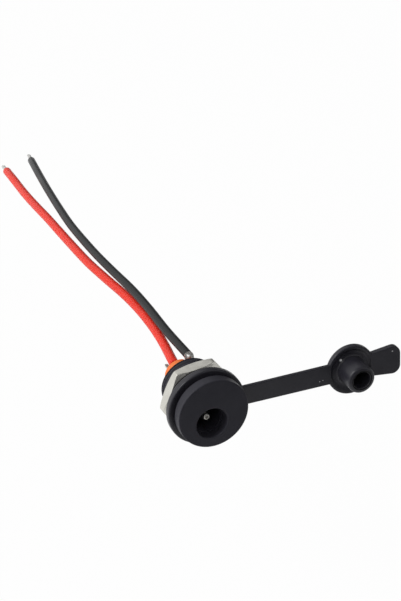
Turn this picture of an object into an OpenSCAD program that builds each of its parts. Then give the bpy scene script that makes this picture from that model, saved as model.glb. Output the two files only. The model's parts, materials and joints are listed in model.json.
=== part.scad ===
// Charging port socket: a round panel jack for a coaxial power plug, with a tethered dust cap,
// a hexagon nut, a rear insulator with its contacts, and two soldered leads.
// Millimetres. X right, Y from the front face to the rear, Z up.
// The origin is on the barrel's axis, in the plane of the flange's rear face.

/* [Flange and barrel] */
// flange diameter
flange_d = 14.0; // [13:0.1:16]
// flange thickness
flange_t = 2.1; // [1.6:0.1:2.6]
// bevel round the flange's front edge
flange_edge = 0.3; // [0.1:0.05:0.5]
// thread's outer diameter
thread_d = 11.0; // [10.8:0.1:11.8]
// barrel length behind the flange
barrel_l = 10.2; // [10:0.1:12]
// lead-in bevel at the barrel's rear end
barrel_lead = 0.25; // [0.15:0.05:0.5]

/* [Plug bore] */
// mouth diameter
bore_d = 5.9; // [5.85:0.05:6]
// sideways place of the bore's axis
bore_x = -0.35; // [-0.45:0.05:-0.25]
// drop of the bore's axis below the barrel's axis
bore_drop = 1.95; // [1.8:0.05:2.1]
// bevel round the mouth
mouth_bevel = 0.35; // [0.2:0.05:0.5]
// length of the full round mouth from the front face
mouth_l = 2.4; // [2.2:0.05:2.45]
// diameter of the bore behind the mouth
inner_d = 5.6; // [5.55:0.05:5.65]
// moulding draft of that bore, on the radius
inner_draft = 0.03; // [0.02:0.01:0.04]
// width of the spring's slot above the bore
slot_w = 2.2; // [2:0.1:2.6]
// height of the slot's roof above the barrel's axis
slot_roof = 2.8; // [2.7:0.1:3.2]

/* [Rear insulator] */
// insulator diameter
insulator_d = 8.8; // [8.6:0.1:9.2]
// fit gap round the insulator
insulator_fit = 0.05; // [0.02:0.01:0.1]
// length of the insulator inside the barrel
insulator_in = 3.1; // [2.8:0.1:3.4]
// length of the insulator's base behind the barrel
insulator_out = 0.4; // [0.3:0.05:0.6]
// boss diameter behind the base
boss_d = 5.8; // [5.6:0.1:6.4]
// boss length
boss_l = 4.1; // [3.8:0.1:4.6]
// bevel round the rear edges of base and boss
insulator_edge = 0.2; // [0.1:0.05:0.3]
// depth of the contact chamber in front of the insulator
chamber_l = 1.3; // [1.2:0.1:1.6]

/* [Centre contact] */
// pin diameter
pin_d = 2.1; // [1.9:0.1:2.5]
// recess of the pin's tip behind the front face
pin_recess = 2.55; // [2.5:0.05:3]
// collar diameter
collar_d = 3.0; // [2.8:0.1:3.4]
// collar thickness
collar_t = 0.5; // [0.4:0.1:0.8]
// stem diameter through the insulator
stem_d = 1.5; // [1.3:0.1:1.7]
// rivet head diameter
rivet_d = 2.3; // [2.1:0.1:2.6]
// rivet head height
rivet_h = 0.45; // [0.3:0.05:0.6]
// solder lug thickness
lug_t = 0.4; // [0.3:0.05:0.5]
// solder lug width
lug_w = 1.6; // [1.4:0.1:1.8]
// sideways place of the bent tab
tab_x = -0.5; // [-0.6:0.1:-0.3]
// height of the tab's upper face
tab_top = 1.1; // [0.9:0.1:1.3]
// length of the bent tab
tab_run = 1.2; // [1.1:0.1:1.5]

/* [Spring and switch contacts] */
// strip thickness
strip_t = 0.35; // [0.3:0.05:0.4]
// height of the spring's under side where it leaves the insulator
strip_z = 1.4; // [1.3:0.05:1.5]
// width of the spring leaf
leaf_w = 1.6; // [1.4:0.05:1.65]
// reach of the leaf's crest into the bore, past the plug's wall
leaf_press = 0.15; // [0.1:0.05:0.25]
// gap between the leaf's end and the slot's front wall
leaf_gap = 0.35; // [0.3:0.05:0.5]
// depth of the leaf's wide root in the insulator
root_l = 2.0; // [1.6:0.1:2.4]
// sideways place of the spring's solder lug
spring_lug_x = 1.9; // [1.8:0.1:2]
// width of the spring's solder lug
spring_lug_w = 1.8; // [1.6:0.1:2]
// bend of the spring's solder lug
spring_lug_bend = 60; // [50:1:70]
// inner radius of that bend
bend_r = 0.3; // [0.2:0.05:0.4]
// length of the spring's leg behind the barrel, up to its bend
lug_run = 2.55; // [2.4:0.05:2.8]
// length of the lug past its bend
spring_lug_l = 2.8; // [2.6:0.05:3]
// solder hole diameter
solder_hole_d = 1.0; // [0.8:0.1:1.1]
// boss wall left beside the switch strip's leg
switch_edge = 0.26; // [0.22:0.01:0.3]
// width of the switch strip's leg
switch_w = 0.7; // [0.6:0.05:0.75]
// length of the switch leg behind the boss
switch_out = 1.6; // [1.3:0.1:1.9]
// depth of the switch arm along the barrel
arm_w = 0.8; // [0.6:0.1:0.9]
// gap round the strips in the insulator
strip_fit = 0.05; // [0.03:0.01:0.08]

/* [Hexagon nut] */
// width across flats
nut_af = 13.5; // [13:0.1:14.5]
// thickness
nut_t = 2.5; // [2.2:0.1:3]
// running gap round the thread
nut_fit = 0.05; // [0.03:0.01:0.1]
// bevel at both ends of the nut's bore
nut_bevel = 0.3; // [0.2:0.05:0.4]
// turn of the nut's corners
nut_turn = 8.4; // [0:0.1:60]
// gap between the cap's ring and the nut
nut_gap = 1.35; // [1.1:0.05:1.6]

/* [Dust cap] */
// ring diameter
ring_d = 15.5; // [14:0.1:16.5]
// running gap of the ring on the barrel
ring_fit = 0.1; // [0.05:0.01:0.2]
// ring thickness
ring_t = 1.5; // [1.3:0.1:1.8]
// rounding of the ring's edges
ring_edge = 0.35; // [0.2:0.05:0.5]
// gap between the flange and the ring
ring_gap = 0.8; // [0.4:0.1:1.2]
// swivel of the strap at rest
cap_turn = 1.3; // [-5:0.1:5]
// distance from the barrel's axis to the plug's axis
cap_reach = 30.4; // [26:0.1:36]
// strap width
strap_w = 4.0; // [3.4:0.1:4.8]
// strap thickness
strap_t = 0.7; // [0.6:0.05:0.9]
// set-back of the strap's front face from the ring's
strap_set = 0.7; // [0.5:0.05:1]
// disc diameter
disc_d = 10.2; // [9.8:0.1:12]
// thickness of disc and pull tab
disc_t = 1.1; // [0.9:0.05:1.3]
// width of the disc's raised rim
rim_w = 0.7; // [0.5:0.05:0.9]
// depth of the dish inside the rim
dish = 0.25; // [0.15:0.05:0.3]
// rounding where the plug meets the dish
root_r = 0.6; // [0.3:0.05:0.8]
// gap round the cap's plug in the mouth
plug_fit = 0.2; // [0.05:0.01:0.25]
// length of the plug in front of the disc
plug_l = 4.15; // [3.6:0.05:5]
// rounding of the plug's nose
nose_r = 0.55; // [0.4:0.05:0.7]
// diameter of the plug's hollow
hollow_d = 3.7; // [3.2:0.1:4]
// floor left behind the hollow
hollow_floor = 1.2; // [0.8:0.1:1.6]
// pull tab length past the plug's axis
pull_l = 10.2; // [9:0.1:12]
// pull tab width where it leaves the disc
pull_root_w = 5.4; // [4.8:0.1:6]
// pull tab width at its end
pull_end_w = 6.15; // [5.8:0.05:7]
// corner radius of the pull tab
pull_corner = 1.7; // [1:0.1:2]

/* [Leads] */
// red lead's insulation diameter
red_d = 1.9; // [1.7:0.05:1.95]
// black lead's insulation diameter
black_d = 1.75; // [1.6:0.05:1.85]
// diameter of the tinned conductor
core_d = 0.9; // [0.7:0.05:1]
// length of the bare tinned end
bare_l = 4.5; // [3:0.5:6]
// diameter of the solder
solder_d = 1.4; // [1.3:0.05:1.5]
// gap between the lug and the insulation
strip_back = 0.1; // [0.05:0.05:0.2]

/* [Hidden] */
flange_r = flange_d / 2;
thread_r = thread_d / 2;
bore_r = bore_d / 2;
inner_r = inner_d / 2;
pin_r = pin_d / 2;
stem_r = stem_d / 2;
insulator_r = insulator_d / 2;
boss_r = boss_d / 2;
pad_r = rivet_d / 2 + lug_t;
front_y = -flange_t;
mouth_y = front_y + mouth_l;
insulator_y = barrel_l - insulator_in;
step_y = barrel_l + insulator_out;
rear_y = step_y + boss_l;
chamber_y = insulator_y - chamber_l;
chamber_r = insulator_r + insulator_fit;
plug_top = inner_r - bore_drop;
leaf_low = plug_top - leaf_press;
leaf_end = mouth_y + leaf_gap;
bend_y = barrel_l + lug_run;
bend_z = strip_z + strip_t + bend_r;
bend_out = bend_r + strip_t;
bend_mid = bend_r + strip_t / 2;
switch_x = switch_edge + switch_w / 2 - sqrt(boss_r * boss_r - strip_z * strip_z);
eye_s = spring_lug_l - spring_lug_w / 2;
eye_y = bend_y + eye_s * cos(spring_lug_bend) + bend_mid * sin(spring_lug_bend);
eye_z = bend_z + eye_s * sin(spring_lug_bend) - bend_mid * cos(spring_lug_bend);
ring_y = ring_gap;
ring_back = ring_gap + ring_t;
ring_r = ring_d / 2;
ring_in = thread_r + ring_fit;
nut_y = ring_back + nut_gap;
disc_r = disc_d / 2;
strap_y = ring_gap + strap_set;
disc_back = strap_y + disc_t;
cap_plug_r = bore_r - plug_fit;
hollow_r = hollow_d / 2;
red_r = red_d / 2;
black_r = black_d / 2;
core_r = core_d / 2;
solder_r = solder_d / 2;
tab_y = rear_y + tab_run;
red_exit = [tab_x, tab_y + strip_back, tab_top + core_r];
black_exit = [spring_lug_x, eye_y + solder_r + strip_t, eye_z];
// each lead's points, counted from where it leaves its solder
red_run = [[0, 0, 0], [1.5, 10, -0.2], [2.3, 20, -0.5], [2.4, 30, -1], [1.9, 40, -1.7],
    [1.6, 50, -2.5], [1.9, 60, -3.4], [2.4, 70, -4.4], [3, 80, -5.5], [3.5, 90, -6.7],
    [4.3, 100, -8.1], [5.4, 110, -9.5], [6.5, 119.5, -11]];
black_run = [[0, 0, 0], [0, 10, -0.2], [0.5, 20, -0.5], [0.8, 30, -1], [0.7, 40, -1.7],
    [0.8, 50, -2.5], [1.3, 60, -3.4], [2.1, 70, -4.4], [3.4, 80, -5.5], [4.9, 90, -6.7],
    [6.6, 100, -8.1], [8.4, 110, -9.5], [10.3, 120, -11]];
wire_sides = 8;
eps = 0.01;

$fn = 96;

// local Z runs along the barrel and local Y runs downwards
module axial() {
    rotate([-90, 0, 0]) children();
}

// a profile in (Y, Z) drawn out along X
module across(x, w) {
    translate([x - w / 2, 0, 0]) rotate([90, 0, 90]) linear_extrude(w) children();
}

// quarter of a circle, from angle a to angle b
function arc(cx, cy, r, a, b, n = 6) =
    [for (i = [0 : n]) let (t = a + (b - a) * i / n) [cx + r * cos(t), cy + r * sin(t)]];

// a rounded line through the lead's points, and its directions
function span(a, b, c, d, t) = 0.5 * (2 * b + (c - a) * t + (2 * a - 5 * b + 4 * c - d) * t * t
    + (3 * b - a - 3 * c + d) * t * t * t);
function at(run, i) = i < 0 ? 2 * run[0] - run[1]
    : i >= len(run) ? 2 * run[len(run) - 1] - run[len(run) - 2] : run[i];
function line(run, steps = 2) = concat(
    [for (i = [0 : len(run) - 2]) for (s = [0 : steps - 1])
        span(at(run, i - 1), at(run, i), at(run, i + 1), at(run, i + 2), s / steps)],
    [run[len(run) - 1]]);
function unit(v) = v / norm(v);
function heading(p, i) = i == 0 ? [0, 1, 0]
    : unit(p[min(i + 1, len(p) - 1)] - p[i - 1]);
function ring_at(c, t, r) = let (s = unit(cross(t, [0, 0, 1])), u = cross(s, t))
    [for (k = [0 : wire_sides - 1]) let (a = 360 * k / wire_sides) c + r * (cos(a) * s + sin(a) * u)];

// closed tube through rings of equal count
module tube(rings) {
    n = wire_sides;
    m = len(rings);
    points = [for (ring = rings) for (p = ring) p];
    sides = [for (i = [0 : m - 2]) for (k = [0 : n - 1])
        [i * n + k, i * n + (k + 1) % n, (i + 1) * n + (k + 1) % n, (i + 1) * n + k]];
    polyhedron(points, concat([[for (k = [n - 1 : -1 : 0]) k]], sides,
        [[for (k = [0 : n - 1]) (m - 1) * n + k]]));
}

module wire(exit, run, r) {
    p = line(run);
    translate(exit) tube([for (i = [0 : len(p) - 1]) ring_at(p[i], heading(p, i), r)]);
}

module wire_tip(exit, run) {
    p = line(run);
    t = heading(p, len(p) - 1);
    translate(exit) tube([for (s = [0, 0.9, 1])
        ring_at(p[len(p) - 1] + bare_l * s * t, t, s == 1 ? core_r * 0.7 : core_r)]);
}

// moulded body: flange, threaded barrel, low-set bore, spring slot and contact chamber
module housing() {
    color([0.06, 0.06, 0.065]) axial() difference() {
        rotate_extrude() polygon([[0, front_y], [flange_r - flange_edge, front_y],
            [flange_r, front_y + flange_edge], [flange_r, 0], [thread_r, 0],
            [thread_r, barrel_l - barrel_lead], [thread_r - barrel_lead, barrel_l], [0, barrel_l]]);
        translate([bore_x, bore_drop, front_y - 1]) cylinder(r = bore_r, h = mouth_l + 1);
        translate([bore_x, bore_drop, front_y - eps])
            cylinder(r1 = bore_r + mouth_bevel + eps, r2 = bore_r, h = mouth_bevel + eps);
        translate([bore_x, bore_drop, mouth_y - eps])
            cylinder(r1 = inner_r + inner_draft, r2 = inner_r, h = chamber_y - mouth_y + 2 * eps);
        translate([bore_x - slot_w / 2, -slot_roof, mouth_y])
            cube([slot_w, slot_roof + bore_drop, chamber_y - mouth_y + eps]);
        translate([0, 0, chamber_y]) cylinder(r = chamber_r, h = barrel_l);
    }
}

// insulating plug that carries the contacts: a base in the barrel and a boss behind it
module rear_insulator() {
    leaf_slot = leaf_w + 2 * strip_fit;
    lug_slot = spring_lug_w + 2 * strip_fit;
    leg_slot = switch_w + 2 * strip_fit;
    through = rear_y - insulator_y + 2;
    color([0.95, 0.42, 0.12]) axial() difference() {
        union() {
            rotate_extrude() polygon([[0, insulator_y], [insulator_r, insulator_y],
                [insulator_r, step_y - insulator_edge], [insulator_r - insulator_edge, step_y],
                [boss_r, step_y], [boss_r, rear_y - insulator_edge],
                [boss_r - insulator_edge, rear_y], [0, rear_y]]);
            translate([bore_x, bore_drop, insulator_y]) cylinder(r = pad_r, h = rear_y - insulator_y);
        }
        translate([bore_x, bore_drop, insulator_y - 1]) cylinder(r = stem_r + strip_fit, h = through);
        translate([bore_x - leaf_slot / 2, -strip_z - strip_t - strip_fit, insulator_y - 1])
            cube([leaf_slot / 2 - bore_x + spring_lug_x + lug_slot / 2, strip_t + 2 * strip_fit,
                root_l + 1 + strip_fit]);
        translate([spring_lug_x - lug_slot / 2, -strip_z - strip_t - strip_fit, insulator_y - 1])
            cube([lug_slot, strip_t + 2 * strip_fit, through]);
        // open notch in the boss where the spring's lug bends up
        translate([spring_lug_x - lug_slot / 2, strip_fit - strip_z - boss_r, step_y])
            cube([boss_r, boss_r, boss_l + 1]);
        translate([switch_x - leg_slot / 2, -strip_z - strip_fit, insulator_y - 1])
            cube([leg_slot, strip_t + 2 * strip_fit, through]);
    }
}

// turned pin with a round tip, a collar on the insulator and a riveted stem
module center_pin() {
    tip = front_y + pin_recess;
    head = rear_y + lug_t;
    color([0.82, 0.82, 0.8]) axial() translate([bore_x, bore_drop, 0]) rotate_extrude() polygon(concat(
        arc(0, tip + pin_r, pin_r, -90, 0), [[pin_r, insulator_y - collar_t],
        [collar_d / 2, insulator_y - collar_t], [collar_d / 2, insulator_y], [stem_r, insulator_y],
        [stem_r, head], [rivet_d / 2, head], [rivet_d / 4, head + rivet_h], [0, head + rivet_h]]));
}

// lug under the rivet, bent back into a tab for the red lead
module center_lug() {
    color([0.8, 0.8, 0.78]) axial() {
        translate([0, 0, rear_y]) linear_extrude(lug_t) difference() {
            union() {
                translate([bore_x, bore_drop]) circle(r = pad_r);
                polygon([[bore_x - lug_w / 2, bore_drop], [bore_x + lug_w / 2, bore_drop],
                    [tab_x + lug_w / 2, -tab_top], [tab_x - lug_w / 2, -tab_top]]);
            }
            translate([bore_x, bore_drop]) circle(r = stem_r + strip_fit);
        }
        translate([tab_x - lug_w / 2, -tab_top, rear_y]) cube([lug_w, lug_t, tab_run]);
    }
}

module spring_lug() {
    translate([spring_lug_x, bend_y, bend_z]) rotate([spring_lug_bend, 0, 0])
        translate([0, 0, -bend_out]) linear_extrude(strip_t) difference() {
            union() {
                translate([-spring_lug_w / 2, -eps]) square([spring_lug_w, eye_s + eps]);
                translate([0, eye_s]) circle(r = spring_lug_w / 2);
            }
            translate([0, eye_s]) circle(r = solder_hole_d / 2);
        }
}

// leaf that presses on the plug's sleeve, with its leg and bent solder lug
module spring_contact() {
    crest = (leaf_end + chamber_y) / 2 - leaf_gap;
    dip = strip_z - leaf_low;
    low = [[insulator_y + eps, strip_z], [chamber_y, strip_z], [crest + 0.5, leaf_low + dip * 0.1],
        [crest, leaf_low], [crest - 0.5, leaf_low + dip * 0.1], [leaf_end, leaf_low + dip * 0.4]];
    color([0.82, 0.82, 0.8]) {
        across(bore_x, leaf_w) polygon(concat(low,
            [for (i = [len(low) - 1 : -1 : 0]) low[i] + [0, strip_t]]));
        translate([bore_x - leaf_w / 2, insulator_y, strip_z])
            cube([leaf_w / 2 - bore_x + spring_lug_x + spring_lug_w / 2, root_l, strip_t]);
        translate([spring_lug_x - spring_lug_w / 2, insulator_y, strip_z])
            cube([spring_lug_w, bend_y - insulator_y, strip_t]);
        across(spring_lug_x, spring_lug_w) polygon(concat(
            arc(bend_y, bend_z, bend_out, -90, spring_lug_bend - 90),
            arc(bend_y, bend_z, bend_r, spring_lug_bend - 90, -90)));
        spring_lug();
    }
}

// flat strip whose arm lies under the spring until a plug lifts it
module switch_contact() {
    color([0.75, 0.74, 0.7]) translate([0, 0, strip_z - strip_t]) linear_extrude(strip_t)
        difference() {
            union() {
                translate([switch_x - switch_w / 2, insulator_y - arm_w])
                    square([switch_w, arm_w + rear_y - insulator_y + switch_out - switch_w / 2]);
                translate([switch_x, rear_y + switch_out - switch_w / 2]) circle(r = switch_w / 2);
                translate([switch_x, insulator_y - arm_w])
                    square([bore_x + leaf_w / 2 - switch_x, arm_w - strip_fit]);
            }
            translate([switch_x, rear_y + switch_out - switch_w / 2]) circle(r = switch_w / 4);
        }
}

// nut with bevelled corners at both ends, run up behind the cap's ring
module hex_nut() {
    corner = nut_af / sqrt(3);
    bevel = (corner - nut_af / 2) * tan(30);
    hole = thread_r + nut_fit;
    color([0.78, 0.77, 0.73]) axial() translate([0, 0, nut_y]) difference() {
        intersection() {
            rotate([0, 0, -nut_turn]) cylinder(r = corner, h = nut_t, $fn = 6);
            rotate_extrude() polygon([[0, 0], [nut_af / 2, 0], [corner, bevel],
                [corner, nut_t - bevel], [nut_af / 2, nut_t], [0, nut_t]]);
        }
        translate([0, 0, -1]) cylinder(r = hole, h = nut_t + 2);
        translate([0, 0, -eps]) cylinder(r1 = hole + nut_bevel + eps, r2 = hole, h = nut_bevel + eps);
        translate([0, 0, nut_t - nut_bevel])
            cylinder(r1 = hole, r2 = hole + nut_bevel + eps, h = nut_bevel + eps);
    }
}

// flared outline of the pull tab, from the plug's axis
module pull_outline() {
    slope = atan((pull_end_w - pull_root_w) / 2 / (pull_l - disc_r));
    upper = arc(pull_l - pull_corner, pull_end_w / 2 - pull_corner, pull_corner, 90 + slope, 0);
    half = concat([[0, pull_root_w / 2 - disc_r * tan(slope)]], upper);
    polygon(concat(half, [for (i = [len(half) - 1 : -1 : 0]) [half[i][0], -half[i][1]]]));
}

// soft cap in one moulding: ring, strap, dished disc, hollow plug and pull tab
module dust_cap() {
    floor_y = strap_y + dish;
    nose_y = strap_y - plug_l;
    edge = ring_edge / 2;
    rim_in = disc_r - rim_w;
    color([0.04, 0.04, 0.045]) axial() {
        rotate_extrude() polygon(concat(
            arc(ring_r - ring_edge, ring_y + ring_edge, ring_edge, -90, 0, 3),
            arc(ring_r - ring_edge, ring_back - ring_edge, ring_edge, 0, 90, 3),
            [[ring_in, ring_back], [ring_in, ring_y]]));
        rotate([0, 0, -cap_turn]) difference() {
            union() {
                translate([ring_r - ring_edge * 2, -strap_w / 2, strap_y])
                    cube([cap_reach - ring_r, strap_w, strap_t]);
                translate([cap_reach, 0, strap_y]) linear_extrude(disc_t) pull_outline();
            }
            translate([cap_reach, 0, -1]) cylinder(r = disc_r - rim_w / 2, h = disc_back + 2);
        }
        rotate([0, 0, -cap_turn]) translate([cap_reach, 0, 0]) rotate_extrude() polygon(concat(
            [[0, disc_back], [disc_r - edge, disc_back], [disc_r, disc_back - edge],
            [disc_r, strap_y + edge], [disc_r - edge, strap_y], [rim_in + edge, strap_y],
            [rim_in - edge, floor_y]],
            arc(cap_plug_r + root_r, floor_y - root_r, root_r, 90, 180, 3),
            arc(cap_plug_r - nose_r, nose_y + nose_r, nose_r, 0, -90, 4),
            [[hollow_r, nose_y], [hollow_r, disc_back - hollow_floor], [0, disc_back - hollow_floor]]));
    }
}

module red_wire() {
    color([0.85, 0.12, 0.1]) wire(red_exit, red_run, red_r);
}

module red_wire_tip() {
    color([0.7, 0.7, 0.69]) wire_tip(red_exit, red_run);
}

// solder round the red lead's stripped end, on the tab
module red_solder_joint() {
    run = tab_run + strip_back - lug_t;
    color([0.8, 0.8, 0.79]) difference() {
        translate(red_exit) axial() rotate_extrude() polygon(concat([[0, 0], [solder_r, 0]],
            arc(0, solder_r - run, solder_r, 0, -90)));
        translate([tab_x - lug_w, rear_y, tab_top - 2 * solder_r])
            cube([2 * lug_w, tab_run + 1, 2 * solder_r]);
    }
}

module black_wire() {
    color([0.08, 0.08, 0.085]) wire(black_exit, black_run, black_r);
}

module black_wire_tip() {
    color([0.7, 0.7, 0.69]) wire_tip(black_exit, black_run);
}

// solder on both sides of the spring's lug, joined through its hole
module black_solder_joint() {
    run = 2 * (black_exit[1] - eye_y);
    color([0.8, 0.8, 0.79]) difference() {
        translate(black_exit) axial() rotate_extrude() polygon(concat([[0, 0], [solder_r, 0]],
            arc(0, solder_r - run, solder_r, 0, -90)));
        spring_lug();
    }
}

housing();
rear_insulator();
center_pin();
center_lug();
spring_contact();
switch_contact();
hex_nut();
dust_cap();
red_wire();
red_wire_tip();
red_solder_joint();
black_wire();
black_wire_tip();
black_solder_joint();
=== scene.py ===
# %% [markdown]
# # A charging port socket
# The object is a round panel socket for a coaxial power plug. It has a black threaded body with
# an orange insulator, a nickel nut, a rubber dust cap on a strap and two soldered leads.
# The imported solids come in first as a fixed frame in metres. Every piece below is drawn in the
# same frame, in millimetres, and becomes metres only when its mesh is made.

# %% The frame
import json
import math

import bmesh
import bpy
import numpy as np
from mathutils import Matrix, Vector


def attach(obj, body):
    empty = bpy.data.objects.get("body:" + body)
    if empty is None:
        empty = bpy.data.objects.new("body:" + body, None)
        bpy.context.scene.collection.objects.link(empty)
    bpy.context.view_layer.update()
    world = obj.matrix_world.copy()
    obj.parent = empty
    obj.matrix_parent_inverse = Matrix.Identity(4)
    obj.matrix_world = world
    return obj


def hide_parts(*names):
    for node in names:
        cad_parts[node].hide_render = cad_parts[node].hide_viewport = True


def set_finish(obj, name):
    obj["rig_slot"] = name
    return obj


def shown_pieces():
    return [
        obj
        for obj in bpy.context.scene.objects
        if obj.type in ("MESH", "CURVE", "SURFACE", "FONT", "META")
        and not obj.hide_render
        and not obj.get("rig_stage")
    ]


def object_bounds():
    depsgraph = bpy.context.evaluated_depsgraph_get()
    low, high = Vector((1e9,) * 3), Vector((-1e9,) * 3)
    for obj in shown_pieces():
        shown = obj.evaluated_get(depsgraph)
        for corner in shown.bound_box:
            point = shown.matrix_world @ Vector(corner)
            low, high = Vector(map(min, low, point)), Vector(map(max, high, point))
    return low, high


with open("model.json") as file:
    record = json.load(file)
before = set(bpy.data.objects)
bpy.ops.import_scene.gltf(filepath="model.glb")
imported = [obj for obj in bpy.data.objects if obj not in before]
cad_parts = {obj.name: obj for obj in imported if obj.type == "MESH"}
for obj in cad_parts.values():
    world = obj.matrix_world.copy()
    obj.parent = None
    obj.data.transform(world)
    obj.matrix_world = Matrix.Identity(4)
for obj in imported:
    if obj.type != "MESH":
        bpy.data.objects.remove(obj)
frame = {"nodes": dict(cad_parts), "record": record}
cad_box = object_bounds()
MM = 0.001
scene = bpy.context.scene
print("solids:", ", ".join(sorted(frame["nodes"])))

# %% [markdown]
# ## Camera
# A product picture like this is taken with a long lens, so near and far parts keep almost the
# same scale. Placing the camera by eye never lines up at this size. Its turn, height, tilt and
# focal length were solved from the outlines of the flange, the mouth and the barrel instead.

# %% Camera
PICTURE_HEIGHT = 601
FOCAL_PIXELS = 2045.157
CAMERA_PLACE = (-0.13166, -0.29677, 0.19537)
CAMERA_TURN, CAMERA_DIP, CAMERA_TILT = np.radians((23.611, 28.008, 0.313))
SENSOR_MM, NEAREST = 24.0, 0.01


def camera_axes(turn, dip, tilt):
    """The camera's right, up and backward directions: turned about Z, dipped below the horizon
    by the second angle, then tilted about its own line of sight."""
    ahead = Vector((math.cos(dip) * math.sin(turn), math.cos(dip) * math.cos(turn), -math.sin(dip)))
    level = Vector((math.cos(turn), -math.sin(turn), 0))
    above = level.cross(ahead)
    right = level * math.cos(tilt) + above * math.sin(tilt)
    return right, right.cross(ahead), -ahead


def stand(name, data):
    """An object in the scene that holds a mesh, a lamp or a camera, at the origin."""
    holder = bpy.data.objects.new(name, data)
    scene.collection.objects.link(holder)
    return holder


camera = stand("camera", bpy.data.cameras.new("camera"))
camera.matrix_world = Matrix.Translation(CAMERA_PLACE) @ Matrix(
    camera_axes(CAMERA_TURN, CAMERA_DIP, CAMERA_TILT)).transposed().to_4x4()
camera.data.sensor_fit = "VERTICAL"
camera.data.sensor_height = SENSOR_MM
camera.data.lens = FOCAL_PIXELS / PICTURE_HEIGHT * SENSOR_MM
camera.data.clip_start = NEAREST
scene.camera = camera
print("lens", round(camera.data.lens, 2), "mm on a", SENSOR_MM, "mm high sensor")

# %% [markdown]
# ## From a grid of points to a piece
# Nearly every form here is a ring of points that is swept, turned or carried along. Such a form
# is a grid: one direction runs round, the other runs along. One helper therefore turns grids
# into a mesh. A row whose points coincide closes the form in a pole, and merging doubles makes
# that pole one vertex.

# %% Grid to mesh
SHARP = math.radians(42)
MERGE_WITHIN, FLAT_WITHIN = 2e-7, 1e-7


def tidy_mesh(mesh):
    """Merges points that coincide, turns the faces outwards and smooths all but sharp edges."""
    work = bmesh.new()
    work.from_mesh(mesh)
    bmesh.ops.remove_doubles(work, verts=work.verts, dist=MERGE_WITHIN)
    bmesh.ops.dissolve_degenerate(work, edges=work.edges, dist=FLAT_WITHIN)
    bmesh.ops.recalc_face_normals(work, faces=work.faces)
    work.to_mesh(mesh)
    work.free()
    mesh.shade_smooth()
    mesh.set_sharp_from_angle(angle=SHARP)


def shell(name, *grids):
    """One mesh from grids of millimetre points with shape (rows, columns, 3). Columns always
    close round. A grid whose last row repeats its first becomes a closed loop of rows."""
    points, faces, start = [], [], 0
    for grid in grids:
        rows, columns = grid.shape[:2]
        row, column = np.arange(rows - 1)[:, None], np.arange(columns)[None, :]
        beside = (column + 1) % columns
        corners = [row * columns + column, row * columns + beside,
                   (row + 1) * columns + beside, (row + 1) * columns + column]
        faces.append(np.stack(corners, -1).reshape(-1, 4) + start)
        points.append(grid.reshape(-1, 3))
        start += rows * columns
    mesh = bpy.data.meshes.new(name)
    mesh.from_pydata((np.vstack(points) * MM).tolist(), [], np.vstack(faces).tolist())
    tidy_mesh(mesh)
    return stand(name, mesh)


def settle(piece, body, slot, *stands_for):
    """The piece rides on a body, names its finish and stands for its solids."""
    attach(piece, body)
    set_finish(piece, slot)
    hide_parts(*stands_for)
    corners = np.array(piece.bound_box) / MM
    print(piece.name, len(piece.data.polygons), "faces,", np.round(np.ptp(corners, axis=0), 2), "mm")
    return piece


print("edges over", round(math.degrees(SHARP)), "degrees stay hard")

# %% [markdown]
# ## The leads
# Two PVC leads leave the solder lugs, run back side by side and droop a little as they go, like
# thin springs held at one end. A curve object with a bevel would do. A carried circle is as
# short, and its ends can be rounded where the insulation was cut. The points are the ones that
# shape the solid leads, rounded into one line by the same rule. The insulation reaches a little
# nearer to the lug than the solid lead does.

# %% The leads' lines
RED_EXIT = np.array([-0.5, 16.0, 1.55])
BLACK_EXIT = np.array([1.9, 15.161, 3.458])
RED_RUN = np.array([
    [0, 0, 0], [1.5, 10, -0.2], [2.3, 20, -0.5], [2.4, 30, -1], [1.9, 40, -1.7],
    [1.6, 50, -2.5], [1.9, 60, -3.4], [2.4, 70, -4.4], [3, 80, -5.5], [3.5, 90, -6.7],
    [4.3, 100, -8.1], [5.4, 110, -9.5], [6.5, 119.5, -11]])
BLACK_RUN = np.array([
    [0, 0, 0], [0, 10, -0.2], [0.5, 20, -0.5], [0.8, 30, -1], [0.7, 40, -1.7],
    [0.8, 50, -2.5], [1.3, 60, -3.4], [2.1, 70, -4.4], [3.4, 80, -5.5], [4.9, 90, -6.7],
    [6.6, 100, -8.1], [8.4, 110, -9.5], [10.3, 120, -11]])
POINTS_PER_STEP, NEARER_LUG = 3, 0.6


def rounded_line(run, steps):
    """Catmull-Rom line: between two points it is a cubic, whose slope at a point is half the
    step from the point before to the point after. Past its ends the last step repeats."""
    p = np.vstack([2 * run[0] - run[1], run, 2 * run[-1] - run[-2]])
    a, b, c, d = (q[:, None, :] for q in (p[:-3], p[1:-2], p[2:-1], p[3:]))
    t = (np.arange(steps) / steps)[None, :, None]
    line = 0.5 * (2 * b + (c - a) * t + (2 * a - 5 * b + 4 * c - d) * t**2
                  + (3 * b - a - 3 * c + d) * t**3)
    return np.vstack([line.reshape(-1, 3), run[-1:]])


def lead_line(start, run):
    """The lead's middle line: a short step straight along Y, then the rounded run."""
    return np.vstack([start - (0, NEARER_LUG, 0), start + rounded_line(run, POINTS_PER_STEP)])


red_line, black_line = lead_line(RED_EXIT, RED_RUN), lead_line(BLACK_EXIT, BLACK_RUN)
for colour, line in (("red", red_line), ("black", black_line)):
    length = np.linalg.norm(np.diff(line, axis=0), axis=1).sum()
    print(colour, "lead:", len(line), "points,", round(length, 2), "mm")

# %% [markdown]
# The insulation is cut square and its edge is a little rounded. Each end is therefore a short
# row of circles that follow a quarter circle inwards and then close on the middle.

# %% Insulation
RED_D, BLACK_D, CUT_EDGE = 1.9, 1.75, 0.22
LEAD_COLUMNS = 32
QUARTER = np.linspace(0, np.pi / 2, 5)


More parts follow.
